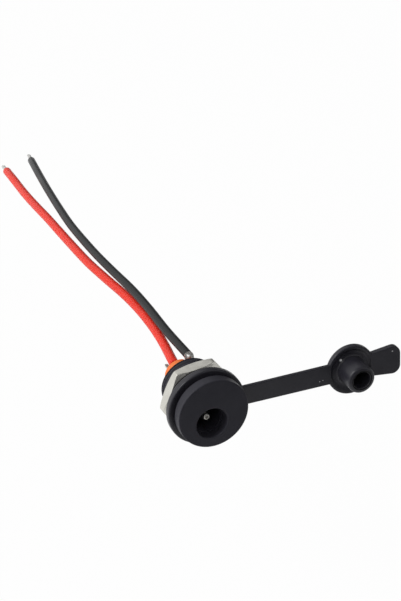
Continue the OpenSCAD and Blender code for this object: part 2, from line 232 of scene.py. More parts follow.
def headings(line):
    """Unit directions along a line. The first is straight back along Y, out of the solder."""
    ahead = np.gradient(line, axis=0)
    ahead[0] = (0, 1, 0)
    return ahead / np.linalg.norm(ahead, axis=1, keepdims=True)


def square_to(ahead):
    """Two unit directions square to each heading: one level across it, the other on its upper side."""
    side = np.cross(ahead, (0, 0, 1))
    side = side / np.linalg.norm(side, axis=-1, keepdims=True)
    return side, np.cross(side, ahead)


def carried(points, ahead, radius, columns):
    """A circle carried along a line: point + radius x (cos a x side + sin a x upper side)."""
    side, upper = square_to(ahead)
    a = np.linspace(0, 2 * np.pi, columns, endpoint=False)[None, :, None]
    ring = np.cos(a) * side[:, None] + np.sin(a) * upper[:, None]
    return points[:, None] + np.reshape(radius, (-1, 1, 1)) * ring


def insulation(line, thick):
    """The lead's tube. Along the line its radius is constant; at a cut, the row at angle b of a
    quarter circle lies edge x (1 - sin b) inside the end and loses edge x (1 - cos b) of radius."""
    ahead = headings(line)
    inside = np.append(CUT_EDGE * (1 - np.sin(QUARTER)), 0)[:, None]
    rim = np.append(thick / 2 - CUT_EDGE * (1 - np.cos(QUARTER)), 0)
    points = np.vstack([line[0] + inside[::-1] * ahead[0], line[1:-1], line[-1] - inside * ahead[-1]])
    first, last = (np.repeat(ahead[end][None], len(rim), 0) for end in (0, -1))
    radius = np.concatenate([rim[::-1], np.full(len(line) - 2, thick / 2), rim])
    return carried(points, np.vstack([first, ahead[1:-1], last]), radius, LEAD_COLUMNS)


red_lead = settle(shell("red_lead", insulation(red_line, RED_D)), "socket", "red_pvc", "red_wire")
black_lead = settle(shell("black_lead", insulation(black_line, BLACK_D)),
                    "socket", "black_pvc", "black_wire")

# %% [markdown]
# The far ends are stripped. They are drawn as seven tinned wires twisted together: one in the
# middle and six round it. One fluted rod would be simpler, but separate thin tubes also give the
# uneven cut at the end.

# %% Bare ends
CORE_D, BARE_L, HIDDEN_L, LAY_TURN = 0.9, 4.5, 0.4, 0.75
WIRE_R = CORE_D / 6
FAT_R, LAY_R = 1.12 * WIRE_R, 1.88 * WIRE_R
WIRES, UNEVEN, WIRE_ROWS, WIRE_COLUMNS = 7, 0.09, 14, 12


def bare_end(line):
    """Six wires on a helix and one on its axis. A wire's centre at distance s past the cut is
    end + s x heading + lay x (cos(a + turn x s) x side + sin(a + turn x s) x upper side)."""
    ahead = headings(line)[-1]
    side, upper = square_to(ahead)
    grids = []
    for wire in range(WIRES):
        reach = BARE_L - UNEVEN * (wire * 3 % WIRES)
        s = np.append(np.linspace(-HIDDEN_L, reach - WIRE_R, WIRE_ROWS),
                      reach - WIRE_R * (1 - np.sin(QUARTER[1:])))
        radius = np.append(np.full(WIRE_ROWS, FAT_R), FAT_R * np.cos(QUARTER[1:]))
        a = (wire * np.pi / 3 + LAY_TURN * s)[:, None]
        lay = 0.0 if wire == WIRES - 1 else LAY_R
        middle = line[-1] + s[:, None] * ahead + lay * (np.cos(a) * side + np.sin(a) * upper)
        closed = np.vstack([middle[:1], middle])
        aims = np.repeat(ahead[None], len(closed), 0)
        grids.append(carried(closed, aims, np.append(0, radius), WIRE_COLUMNS))
    return grids


red_wires = settle(shell("red_bare_end", *bare_end(red_line)),
                   "socket", "tinned_copper", "red_wire_tip")
black_wires = settle(shell("black_bare_end", *bare_end(black_line)),
                     "socket", "tinned_copper", "black_wire_tip")

# %% [markdown]
# The picture shows both from end to end. They are short and stiff, and droop from their solder.

# %% [markdown]
# ## Turned profiles
# The flange, the cap's ring, its disc and plug, and the pin are all round. Each is a profile in
# two numbers, the distance from the axis and the place along Y, turned once about the axis.
# Moulded and turned edges are never sharp, so the profile's corners are rounded first. A point
# just outside each rounding keeps the flat beside it flat when the mesh is smoothed.

# %% Turned profiles
GUARD, BEND_POINTS = 1.5, 6


def rounded(corners, edges, closed=False):
    """A profile with soft corners: each corner P is replaced by the curve
    (1-t)^2 A + 2t(1-t) P + t^2 C, where A and C lie on the two sides at the edge's distance."""
    p = np.asarray(corners, float)
    edge = np.asarray(edges, float)[:, None]
    back, on = np.roll(p, 1, 0) - p, np.roll(p, -1, 0) - p
    back, on = (v / np.linalg.norm(v, axis=1, keepdims=True) for v in (back, on))
    a, c = p + edge * back, p + edge * on
    t = np.linspace(0, 1, BEND_POINTS)[None, :, None]
    bend = (1 - t)**2 * a[:, None] + 2 * t * (1 - t) * p[:, None] + t**2 * c[:, None]
    guard = [(p + GUARD * edge * v)[:, None] for v in (back, on)]
    line = np.concatenate([guard[0], bend, guard[1]], 1)
    if closed:
        return np.vstack([line.reshape(-1, 2), line[0, :1]])
    return np.vstack([p[:1], line[1:-1].reshape(-1, 2), p[-1:]])


def round_angles(columns):
    """Even angles round the axis, as one row."""
    return np.linspace(0, 2 * np.pi, columns, endpoint=False)[None, :]


def hoops(r, y, columns, x=0.0, z=0.0):
    """Hoops about the line along Y through (x, z): (x + r cos a, y, z + r sin a). Radius and place
    are columns with one value per hoop, or grids that change with the angle too."""
    r, y, a = np.broadcast_arrays(np.atleast_2d(r), np.atleast_2d(y), round_angles(columns))
    return np.stack([x + r * np.cos(a), y, z + r * np.sin(a)], -1)


def turned(profile, columns, x=0.0, z=0.0):
    """A profile of (radius, place) points turned about the line along Y through (x, z)."""
    return hoops(profile[:, :1], profile[:, 1:], columns, x, z)


square = rounded([(1, 0), (2, 0), (2, 1), (1, 1)], [0.1] * 4, closed=True)
print("a rounded square has", len(square), "points")

# %% [markdown]
# ## The body
# The body is one moulding: a flange, a threaded barrel, and a mouth that sits low of the axis.
# A boolean could cut the mouth out of a turned part, but then its edge would stay hard. All of
# it is one loop of hoops instead. The loop starts in the bore, comes out of the mouth, crosses
# the face, goes over the flange and along the thread, and returns through the rear chamber.

# %% Body sizes
BORE_X, BORE_Z, INNER_R, INNER_DRAFT = -0.35, -1.95, 2.8, 0.03
MOUTH_R, MOUTH_BEVEL, MOUTH_EDGE = 3.1, 0.16, 0.05
FRONT_Y, MOUTH_Y, CHAMBER_Y, BARREL_Y = -2.1, 0.3, 5.8, 10.2
FLANGE_R, FRONT_EDGE, BACK_EDGE = 7.0, 0.24, 0.12
FACE_FROM_MOUTH, FACE_FROM_FLANGE = 0.5, 0.9
THREAD_R, CHAMBER_R, LEAD_IN, REAR_EDGE, CHAMBER_EDGE = 5.5, 4.45, 0.25, 0.06, 0.08
SLOT_HALF, SLOT_TOP = 1.1, 2.8
BODY_COLUMNS = 192
print("mouth", 2 * MOUTH_R, "mm, flange", 2 * FLANGE_R, "mm, barrel to y", BARREL_Y, "mm")

# %% [markdown]
# Two kinds of hoop aren't plain circles. The bore has a slot above it for the spring, and the thread is
# a groove that climbs one pitch in each turn. Both only change a hoop's radius with the angle,
# so each is a formula for that radius.

# %% Slot and thread
THREAD_PITCH, THREAD_DEPTH, CREST = 0.95, 0.3, 0.15
PLAIN_L, FADE_IN, FADE_OUT = 0.4, 0.6, 0.15
THREAD_ROWS, THREAD_CLEAR, TINY = 136, 0.02, 1e-6


def bore_outline(radius):
    """The bore with the spring's slot above it: the larger of the circle and, within the slot's
    width, the distance along the ray to the slot's side or roof."""
    a = round_angles(BODY_COLUMNS)
    to_side = SLOT_HALF / np.maximum(np.abs(np.cos(a)), TINY)
    to_roof = (SLOT_TOP - BORE_Z) / np.maximum(np.sin(a), TINY)
    return np.where(np.sin(a) > 0, np.maximum(radius, np.minimum(to_side, to_roof)), radius)


def thread_radius(y):
    """Crest radius less the groove: a triangle wave in (y / pitch - angle / full turn), with
    its crest and root rounded, that fades in behind the flange and out at the rear."""
    a = round_angles(BODY_COLUMNS)
    wave = np.abs((y / THREAD_PITCH - a / (2 * np.pi)) % 1 - 0.5) * 2
    flank = np.clip((wave - CREST) / (1 - 2 * CREST), 0, 1)
    groove = flank * flank * (3 - 2 * flank)
    starts = np.clip((y - PLAIN_L) / FADE_IN, 0, 1)
    ends = np.clip((BARREL_Y - LEAD_IN - y) / FADE_OUT, 0, 1)
    return THREAD_R - THREAD_DEPTH * groove * starts * ends


thread_y = np.linspace(THREAD_CLEAR, BARREL_Y - LEAD_IN - THREAD_CLEAR, THREAD_ROWS)[:, None]
thread = hoops(thread_radius(thread_y), thread_y, BODY_COLUMNS)
print("thread:", thread.shape[0], "hoops of", thread.shape[1], "points")

# %% [markdown]
# All hoops have the same number of points, so they can be set one after another in the order that
# a finger would follow over the moulding. The first hoop comes again as the last, which closes it.

# %% Body
def body_grid():
    """The loop of hoops: bore, mouth, face, flange, thread, rear rim, chamber and bore again."""
    bore = [hoops(bore_outline(INNER_R), CHAMBER_Y, BODY_COLUMNS, BORE_X, BORE_Z),
            hoops(bore_outline(INNER_R + INNER_DRAFT), MOUTH_Y, BODY_COLUMNS, BORE_X, BORE_Z)]
    mouth = rounded([(MOUTH_R, MOUTH_Y), (MOUTH_R, FRONT_Y + MOUTH_BEVEL),
                     (MOUTH_R + MOUTH_BEVEL, FRONT_Y), (MOUTH_R + FACE_FROM_MOUTH, FRONT_Y)],
                    [0, MOUTH_EDGE, MOUTH_EDGE, 0])
    flange = rounded([(FLANGE_R - FACE_FROM_FLANGE, FRONT_Y), (FLANGE_R, FRONT_Y), (FLANGE_R, 0),
                      (THREAD_R, 0)], [0, FRONT_EDGE, BACK_EDGE, 0])
    rear = rounded([(THREAD_R, BARREL_Y - LEAD_IN), (THREAD_R - LEAD_IN, BARREL_Y),
                    (CHAMBER_R, BARREL_Y), (CHAMBER_R, CHAMBER_Y)], [0, REAR_EDGE, CHAMBER_EDGE, 0])
    return np.concatenate(bore + [turned(mouth, BODY_COLUMNS, BORE_X, BORE_Z),
                                  turned(flange, BODY_COLUMNS), thread,
                                  turned(rear, BODY_COLUMNS), bore[0]])


settle(shell("body_moulding", body_grid()), "socket", "black_plastic", "housing")

# %% [markdown]
# ## The pin
# The plug's inner contact is a turned pin with a tapered nose that is hollow at its tip. The nose
# is all that shows in the mouth, as a small bright rim round a dark middle. A sphere would show a
# dot there, so the hollow is modelled: it is a small bowl in front of the turned profile.

# %% Pin
PIN_R, PIN_TIP, NOSE_R, NOSE_L = 1.05, 0.45, 0.6, 0.9
DIMPLE_R, DIMPLE_DEEP, DIMPLE_ROWS, LIP_W, LIP_H = 0.34, 0.35, 12, 0.03, 0.01
INSULATOR_Y, REAR_Y, LUG_T = 7.1, 14.7, 0.4
COLLAR_R, COLLAR_L, STEM_R, RIVET_R, RIVET_H = 1.5, 0.5, 0.75, 1.15, 0.45
PIN_EDGES = [0, 0.14, 0.3, 0.05, 0.08, 0.05, 0.05, 0.05, 0.1, 0.12, 0]
PIN_COLUMNS = 64


def pin_profile():
    """The bowl is a parabola, depth x (1 - (r / bowl radius)^2) behind the tip. The lip, the nose,
    the shank, the collar, the stem and the rivet's head follow as corners."""
    across = np.linspace(0, DIMPLE_R, DIMPLE_ROWS)
    bowl = np.stack([across, PIN_TIP + DIMPLE_DEEP * (1 - (across / DIMPLE_R)**2)], 1)
    collar_y, head_y = INSULATOR_Y - COLLAR_L, REAR_Y + LUG_T
    shank = rounded([(DIMPLE_R + LIP_W, PIN_TIP - LIP_H), (NOSE_R, PIN_TIP), (PIN_R, PIN_TIP + NOSE_L),
                     (PIN_R, collar_y), (COLLAR_R, collar_y), (COLLAR_R, INSULATOR_Y),
                     (STEM_R, INSULATOR_Y), (STEM_R, head_y), (RIVET_R, head_y),
                     (RIVET_R / 2, head_y + RIVET_H), (0, head_y + RIVET_H)], PIN_EDGES)
    return np.vstack([bowl, shank])


settle(shell("pin_turned", turned(pin_profile(), PIN_COLUMNS, BORE_X, BORE_Z)),
       "socket", "plated_contact", "center_pin")

# %% [markdown]
# ## The nut
# A hexagon nut is a six-sided bar whose ends are bevelled on a lathe, so each flat ends in an
# arc. On a grid round the axis this is exact: every ray has its own distance to the flat, and
# the bevel starts further back the longer that distance is. The corners are slightly rounded.
# The rows close to an edge keep the faces beside it flat.

# %% Nut
NUT_AF, NUT_T, NUT_Y, NUT_TURN, NUT_HOLE, NUT_BEVEL = 13.5, 2.5, 3.65, 8.4, 5.55, 0.3
NUT_CORNER, BEVEL_ANGLE = 70, math.radians(30)
HOLE_ROW, FACE_ROW, BEVEL_ROWS, SIDE_ROWS = 0.06, 0.1, (0.05, 0.1, 0.9), (0.03, 0.08)
LIP_OUT, LIP_BACK = 0.98, 0.985


def nut_grid():
    """Rays at one degree. The flat's distance is half the width / cos(angle from its middle),
    softly limited at the corners; the bevel rises at 30 degrees from the inscribed circle."""
    degree = np.arange(360)[None, :]
    a = np.radians(degree + NUT_TURN)
    from_flat = np.radians(30 - np.abs((degree + 30) % 60 - 30))
    circle = NUT_AF / 2
    flat = circle / np.cos(from_flat)
    side = (flat**-NUT_CORNER + (NUT_AF / math.sqrt(3))**-NUT_CORNER)**(-1 / NUT_CORNER)
    wide = side - circle
    rise = wide * math.tan(BEVEL_ANGLE)
    mouth = NUT_HOLE + NUT_BEVEL
    half = [(NUT_HOLE, NUT_BEVEL), (mouth, 0), (mouth + HOLE_ROW, 0), (circle - FACE_ROW, 0)]
    half += [(circle + share * wide, share * rise) for share in BEVEL_ROWS]
    half += [(circle + LIP_OUT * wide, LIP_BACK * rise)] + [(side, rise + past) for past in SIDE_ROWS]
    front = np.array([np.broadcast_arrays(r, y, a)[:2] for r, y in half])[:, :, 0]
    back = front[::-1].copy()
    back[:, 1] = NUT_T - back[:, 1]
    rows = np.concatenate([front, back, front[:1]])
    return np.stack([rows[:, 0] * np.cos(a), NUT_Y + rows[:, 1], rows[:, 0] * np.sin(a)], -1)


settle(shell("nut_bevelled", nut_grid()), "nut", "nickel_plate", "hex_nut")

# %% [markdown]
# ## The dust cap
# The cap is one rubber moulding: a ring round the barrel, a flat strap, a dished disc with a
# hollow plug, and a pull tab that flares. Ring, disc and plug are turned. Only the profile of the
# disc is long: it runs from the back over the rim into the dish, along the plug and into its hollow.

# %% Ring and disc
CAP_REACH, DISC_X = 30.4, 30.26
RING_IN, RING_R, RING_Y, RING_BACK = 5.7, 7.75, 0.8, 2.3
RING_X, RING_Z, RING_EDGES = -0.1, -0.1, [0.12, 0.35, 0.35, 0.12]
STRAP_Y, STRAP_BACK, STRAP_W = 1.5, 2.2, 4.0
DISC_R, DISC_BACK, RIM_W, DISH, DISH_SLOPE = 5.0, 2.6, 0.55, 0.4, 0.55
PLUG_R, PLUG_NOSE, HOLLOW_R, HOLLOW_Y = 2.8, -2.85, 1.77, 1.4
DISC_EDGES = [0, 0.2, 0.2, 0.15, 0.25, 0.45, 0.6, 0.2, 0.3, 0]
RING_COLUMNS, DISC_COLUMNS = 160, 128


def cap_ring():
    """A soft rectangle turned about the barrel, with the ring's own small shift."""
    corners = [(RING_IN, RING_Y), (RING_R, RING_Y), (RING_R, RING_BACK), (RING_IN, RING_BACK)]
    return turned(rounded(corners, RING_EDGES, closed=True), RING_COLUMNS, RING_X, RING_Z)


def cap_disc():
    """The disc's profile from the middle of its back to the middle of the plug's hollow."""
    floor, rim = STRAP_Y + DISH, DISC_R - RIM_W
    corners = [(0, DISC_BACK), (DISC_R, DISC_BACK), (DISC_R, STRAP_Y), (rim, STRAP_Y),
               (rim - DISH_SLOPE, floor), (PLUG_R, floor), (PLUG_R, PLUG_NOSE),
               (HOLLOW_R, PLUG_NOSE), (HOLLOW_R, HOLLOW_Y), (0, HOLLOW_Y)]
    return turned(rounded(corners, DISC_EDGES), DISC_COLUMNS, x=DISC_X)


print("ring", 2 * RING_R, "mm, disc", 2 * DISC_R, "mm, plug", 2 * PLUG_R, "mm across")

# %% [markdown]
# Strap and tab are a flat bar with soft edges, carried along its length with a width that
# changes. Both reach into the forms beside them, and their front lies a hair in front of the
# disc's, because faces that coincide confuse a boolean.

# %% Strap and tab
PULL_ROOT_W, PULL_END_W, PULL_L, PULL_CORNER, PULL_BOW = 4.95, 6.2, 10.2, 1.7, 0.15
BAR_EDGE, JOIN, ROOT, STRAP_IN_RING = 0.14, 0.012, 0.55, 0.7
STRAP_ROWS, PULL_ROWS, CORNER_ROWS = 24, 10, 12


def flat_bar(x, half_width, front, back):
    """A bar along X: a rectangle in (Y, Z) with soft corners, whose sides move out by the half
    width at each place x. Both ends close on the bar's middle line."""
    section = rounded([(front, -1), (back, -1), (back, 1), (front, 1)], [BAR_EDGE] * 4, closed=True)[:-1]
    y, z = section[None, :, 0], section[None, :, 1]
    z = z + np.sign(z) * (half_width[:, None] - 1)
    grid = np.stack([x[:, None] + 0 * y, y + 0 * z, z], -1)
    middle = np.array([0, (front + back) / 2, 0])
    ends = [np.broadcast_to(middle + (end, 0, 0), grid[:1].shape) for end in (x[0], x[-1])]
    return np.concatenate([ends[0], grid, ends[1]])


def cap_strap():
    """The strap has one width from the ring to the disc."""
    x = np.linspace(RING_R - STRAP_IN_RING, DISC_X - DISC_R + ROOT, STRAP_ROWS)
    return flat_bar(x, np.full(STRAP_ROWS, STRAP_W / 2), STRAP_Y - JOIN, STRAP_BACK)


def cap_pull():
    """The tab's half width grows evenly from the disc, then turns through a quarter circle. Its
    end bows out by bow x (1 - (z / half the end's width)^2)."""
    turn = np.linspace(0, np.pi / 2, CORNER_ROWS)
    straight = np.linspace(DISC_R - 2 * ROOT, PULL_L - PULL_CORNER, PULL_ROWS)[:-1]
    x = np.append(straight, PULL_L - PULL_CORNER * (1 - np.sin(turn)))
    slope = (PULL_END_W - PULL_ROOT_W) / 2 / (PULL_L - DISC_R)
    corner = np.append(np.zeros(len(straight)), PULL_CORNER * (1 - np.cos(turn)))
    half_width = PULL_ROOT_W / 2 + slope * (x - DISC_R) - corner
    grid = flat_bar(CAP_REACH + x, half_width, STRAP_Y - JOIN, DISC_BACK - JOIN)
    along = np.clip((grid[..., 0] - CAP_REACH - DISC_R) / (PULL_L - DISC_R), 0, 1)
    grid[..., 0] += PULL_BOW * along * (1 - (grid[..., 2] / PULL_END_W * 2)**2)
    return grid


print("strap", STRAP_W, "mm wide, tab", PULL_ROOT_W, "to", PULL_END_W, "mm")

# %% [markdown]
# At rest the cap hangs a little turned on the barrel, and its strap is slightly twisted. Both are
# worked into the points. A boolean union then makes one skin of the four forms, because a moulding
# has no inner walls. A remesh would do that too, but it would blur the edges.

# %% One skin
CAP_TURN, CAP_TWIST, TWIST_FADE = math.radians(1.3), 0.06, 2


def swivelled(grid):
    """The cap's rest position: y grows by twist x z, more and more from the ring to the disc and
    less towards the plug's nose. Then the whole turns about the Y axis, which lifts the plug."""
    x, y, z = grid[..., 0], grid[..., 1], grid[..., 2]
    along = np.clip((x - RING_R) / (DISC_X - DISC_R - RING_R), 0, 1)
    behind_nose = np.clip(y - PLUG_NOSE, 0, TWIST_FADE) / TWIST_FADE
    y = y + CAP_TWIST * z * along * behind_nose
    c, s = math.cos(CAP_TURN), math.sin(CAP_TURN)
    return np.stack([c * x - s * z, y, s * x + c * z], -1)


def union(name, *parts):
    """The outer skin of overlapping closed pieces, by an exact boolean."""
    for part in parts[1:]:
        join = parts[0].modifiers.new("join", "BOOLEAN")
        join.operation, join.solver, join.object = "UNION", "EXACT", part
    depsgraph = bpy.context.evaluated_depsgraph_get()
    mesh = bpy.data.meshes.new_from_object(parts[0].evaluated_get(depsgraph))
    mesh.name = name
    for part in parts:
        bpy.data.objects.remove(part)
    tidy_mesh(mesh)
    return stand(name, mesh)


cap_grids = (swivelled(cap_disc()), swivelled(cap_strap()), cap_ring(), swivelled(cap_pull()))
cap_parts = [shell("cap_part", grid) for grid in cap_grids]
settle(union("cap_moulding", *cap_parts), "cap", "cap_rubber", "dust_cap")

# %% [markdown]
# ## Solder
# Solder wets the wire and the lug and freezes in a smooth, slightly lopsided bead. A bead is a
# turned form whose radius also ripples with the angle. A metaball would be rounder but harder to
# keep inside its place.

# %% Solder beads
RED_SOLDER_R, RED_SOLDER_L, RED_LEAN = 0.45, 0.5, 0.4
BLACK_SOLDER_R, BLACK_SOLDER_L, BLACK_LEAN = 0.62, 1.3, 1.9
TWO_WAVES, THREE_WAVES, TWO_TWIST, THREE_TWIST, SWELL = 0.06, 0.05, 4, 7, 0.14
BEAD_ROWS, BEAD_COLUMNS = 28, 48


def solder_bead(place, radius, run, lean):
    """Radius = bead radius x (1 - s^6)^(1/2) x a swell at half length x (1 + small waves in the
    angle and in s), with s from 0 at the insulation to 1 at the front of the bead."""
    s = np.append(0, np.linspace(0, 1, BEAD_ROWS))[:, None]
    a = round_angles(BEAD_COLUMNS)
    ripple = (1 + TWO_WAVES * np.sin(2 * a + TWO_TWIST * s + lean)
              + THREE_WAVES * np.sin(3 * a - THREE_TWIST * s + 2 * lean))
    r = radius * np.sqrt(np.maximum(1 - s**6, 0)) * (1 - SWELL + SWELL * np.sin(np.pi * s)) * ripple
    r[0] = 0
    return hoops(r, place[1] - run * s, BEAD_COLUMNS, place[0], place[2])


settle(shell("red_solder_bead", solder_bead(red_line[0], RED_SOLDER_R, RED_SOLDER_L, RED_LEAN)),
       "socket", "solder", "red_solder_joint")
settle(shell("black_solder_bead",
             solder_bead(black_line[0], BLACK_SOLDER_R, BLACK_SOLDER_L, BLACK_LEAN)),
       "socket", "solder", "black_solder_joint")

# %% [markdown]
# ## Shared effects
# Moulded plastic, rubber and PVC all carry the fine grain of their mould, and all metals here
# have faint rubbing marks and stains. Each effect is one node group with named sockets, so every
# finish can place it at its own scale. All of them read Object coordinates, which are metres.
# The small helpers come first, because a node tree is tedious to write out link by link.

# %% Node helpers
def new_group(name, inputs, outputs):
    """A shader group with float or vector inputs (name, type, default) and value outputs."""
    group = bpy.data.node_groups.new(name, "ShaderNodeTree")
    for label, kind, value in inputs:
        group.interface.new_socket(name=label, in_out="INPUT", socket_type=kind).default_value = value
    for label in outputs:
        group.interface.new_socket(name=label, in_out="OUTPUT", socket_type="NodeSocketFloat")
    return group, group.nodes.new("NodeGroupInput").outputs, group.nodes.new("NodeGroupOutput").inputs


def math_node(tree, operation, first, second):
    """One sum on two values; each is a number or another node's output."""
    node = tree.nodes.new("ShaderNodeMath")
    node.operation = operation
    for socket, value in zip(node.inputs, (first, second)):
        if isinstance(value, (int, float)):
            socket.default_value = value
        else:
            tree.links.new(value, socket)
    return node.outputs[0]


def noise_node(tree, vector, scale, detail):
    """Cloudy noise at a scale that comes from another socket."""
    node = tree.nodes.new("ShaderNodeTexNoise")
    node.inputs["Detail"].default_value = detail
    tree.links.new(vector, node.inputs["Vector"])
    tree.links.new(scale, node.inputs["Scale"])
    return node.outputs["Fac"]


def ramp_node(tree, value, low, high, to_low=0.0, to_high=1.0):
    """Maps a value from one range to another and clamps it."""
    node = tree.nodes.new("ShaderNodeMapRange")
    for label, number in (("From Min", low), ("From Max", high), ("To Min", to_low), ("To Max", to_high)):
        node.inputs[label].default_value = number
    tree.links.new(value, node.inputs["Value"])
    return node.outputs["Result"]


def object_place(tree):
    """The place on the object, in metres."""
    return tree.nodes.new("ShaderNodeTexCoord").outputs["Object"]


print("helpers: new_group, math_node, noise_node, ramp_node, object_place")

# %% [markdown]
# The grain is a fine noise for the bump, and a much coarser one for patches of tone. The rubbing
# marks are a noise stretched along a slanting direction. A dust speck is a small ball of colour
# round a point: where the surface passes through the ball, the speck shows.

# %% Node groups
GRAIN_SCALE, GRAIN_DETAIL = 4000.0, 3.0
PATCH_SHARE, PATCH_DETAIL, PATCH_RANGE = 0.06, 4.0, (0.3, 0.7)
MARK_SCALE, MARK_DETAIL, MARK_TURN, MARK_STRETCH = 900.0, 4.0, (0.4, 0.9, 0.2), (1.0, 9.0, 1.6)
STAIN_SHARE, STAIN_DETAIL, STAIN_RANGE = 0.5, 5.0, (0.38, 0.68)
SPECK_R, SPECK_EDGE = 0.0002, (0.6, 1.0)

grain, ins, outs = new_group("mould_grain", [("Scale", "NodeSocketFloat", GRAIN_SCALE)],
                             ["Height", "Patches"])
place = object_place(grain)
grain.links.new(noise_node(grain, place, ins["Scale"], GRAIN_DETAIL), outs["Height"])
patch_scale = math_node(grain, "MULTIPLY", ins["Scale"], PATCH_SHARE)
patch = noise_node(grain, place, patch_scale, PATCH_DETAIL)
grain.links.new(ramp_node(grain, patch, *PATCH_RANGE), outs["Patches"])

marks, ins, outs = new_group("rubbing_marks", [("Scale", "NodeSocketFloat", MARK_SCALE)],
                             ["Height", "Stain"])
stretch = marks.nodes.new("ShaderNodeMapping")
stretch.inputs["Rotation"].default_value = MARK_TURN
stretch.inputs["Scale"].default_value = MARK_STRETCH
marks.links.new(object_place(marks), stretch.inputs["Vector"])
marks.links.new(noise_node(marks, stretch.outputs["Vector"], ins["Scale"], MARK_DETAIL), outs["Height"])
stain_scale = math_node(marks, "MULTIPLY", ins["Scale"], STAIN_SHARE)
stain = noise_node(marks, object_place(marks), stain_scale, STAIN_DETAIL)
marks.links.new(ramp_node(marks, stain, *STAIN_RANGE), outs["Stain"])

speck, ins, outs = new_group("dust_speck", [("Centre", "NodeSocketVector", (0, 0, 0)),
                                            ("Radius", "NodeSocketFloat", SPECK_R)], ["Mask"])
gap = speck.nodes.new("ShaderNodeVectorMath")
gap.operation = "DISTANCE"
speck.links.new(object_place(speck), gap.inputs[0])
speck.links.new(ins["Centre"], gap.inputs[1])
near = math_node(speck, "DIVIDE", gap.outputs["Value"], ins["Radius"])
speck.links.new(ramp_node(speck, near, *SPECK_EDGE, 1.0, 0.0), outs["Mask"])
print("effects:", ", ".join(group.name for group in bpy.data.node_groups))

# %% [markdown]
# ## Finishes
# A finish mixes two tones of its colour by the group's patches, varies its roughness by the same
# patches and takes a fine bump from the grain. One recipe serves what is moulded and another
# serves the metals. Values that hold all over a surface are set on the shader itself.

# %% Material helpers
def place_group(tree, name, **values):
    """A shared effect in a material, with its own values."""
    node = tree.nodes.new("ShaderNodeGroup")
    node.node_tree = bpy.data.node_groups[name]
    for label, value in values.items():
        node.inputs[label].default_value = value
    return node.outputs


def mix_colour(tree, share, first, second):
    """Two colours mixed by a mask; each is a linear RGB triple or another node's output."""
    node = tree.nodes.new("ShaderNodeMix")
    node.data_type = "RGBA"
    tree.links.new(share, node.inputs["Factor"])
    for socket, colour in ((node.inputs[6], first), (node.inputs[7], second)):
        if isinstance(colour, tuple):
            socket.default_value = (*colour, 1.0)
        else:
            tree.links.new(colour, socket)
    return node.outputs[2]


def new_finish(name, specular, metallic=0.0):
    """A material with its node tree and its shader's inputs."""
    material = bpy.data.materials.new(name)
    material.use_nodes = True
    shader = material.node_tree.nodes["Principled BSDF"]
    shader.inputs["Specular IOR Level"].default_value = specular
    shader.inputs["Metallic"].default_value = metallic
    return material, material.node_tree, shader.inputs


def bump(tree, height, depth, strength, shader):
    """Tilts the surface by a height."""
    node = tree.nodes.new("ShaderNodeBump")
    node.inputs["Distance"].default_value = depth
    node.inputs["Strength"].default_value = strength
    tree.links.new(height, node.inputs["Height"])
    tree.links.new(node.outputs["Normal"], shader["Normal"])


print("helpers: place_group, mix_colour, new_finish, bump")

# %% [markdown]
# Mouldings and metals differ in what they mirror. A moulding has a weak, colourless mirror image
# over its own colour, and light can go into it. A metal has no other colour than that of its mirror
# image. So there are two recipes, each with its own shared effect.

# %% Finish recipes
MOULD_BUMP, METAL_BUMP, PLAIN_SPECULAR = 0.6, 0.5, 0.5
GLOW_SHARE, GLOW_COLOUR = 0.6, (1.0, 0.4, 0.25)


def moulded(name, tones, roughness, specular, scale, depth, specks=(), depth_of_light=0.0):
    """Plastic, rubber or PVC: two tones and two roughnesses by the patches, bump by the grain.
    Light goes a little way into a translucent one."""
    material, tree, shader = new_finish(name, specular)
    skin = place_group(tree, "mould_grain", Scale=scale)
    colour = mix_colour(tree, skin["Patches"], *tones)
    for centre, radius, tint in specks:
        dot = place_group(tree, "dust_speck", Centre=centre, Radius=radius)
        colour = mix_colour(tree, dot["Mask"], colour, tint)
    tree.links.new(colour, shader["Base Color"])
    tree.links.new(ramp_node(tree, skin["Patches"], 0, 1, *roughness), shader["Roughness"])
    bump(tree, skin["Height"], depth, MOULD_BUMP, shader)
    if depth_of_light:
        shader["Subsurface Weight"].default_value = GLOW_SHARE
        shader["Subsurface Radius"].default_value = GLOW_COLOUR
        shader["Subsurface Scale"].default_value = depth_of_light
    return material


def plated(name, tones, roughness, scale, depth):
    """Metal: tone and roughness by the stains, fine bump by the rubbing marks."""
    material, tree, shader = new_finish(name, PLAIN_SPECULAR, metallic=1.0)
    skin = place_group(tree, "rubbing_marks", Scale=scale)
    tree.links.new(mix_colour(tree, skin["Stain"], *tones), shader["Base Color"])
    tree.links.new(ramp_node(tree, skin["Stain"], 0, 1, *roughness), shader["Roughness"])
    bump(tree, skin["Height"], depth, METAL_BUMP, shader)
    return material


print("recipes: moulded, plated")

# %% [markdown]
# The colours are linear values. The black mouldings mirror less than the 4 percent of a shiny
# plastic, so their specular level is low. The red insulation lets light in, which evens out its
# shaded side. The rubber has a few pale dust specks where the picture shows them.

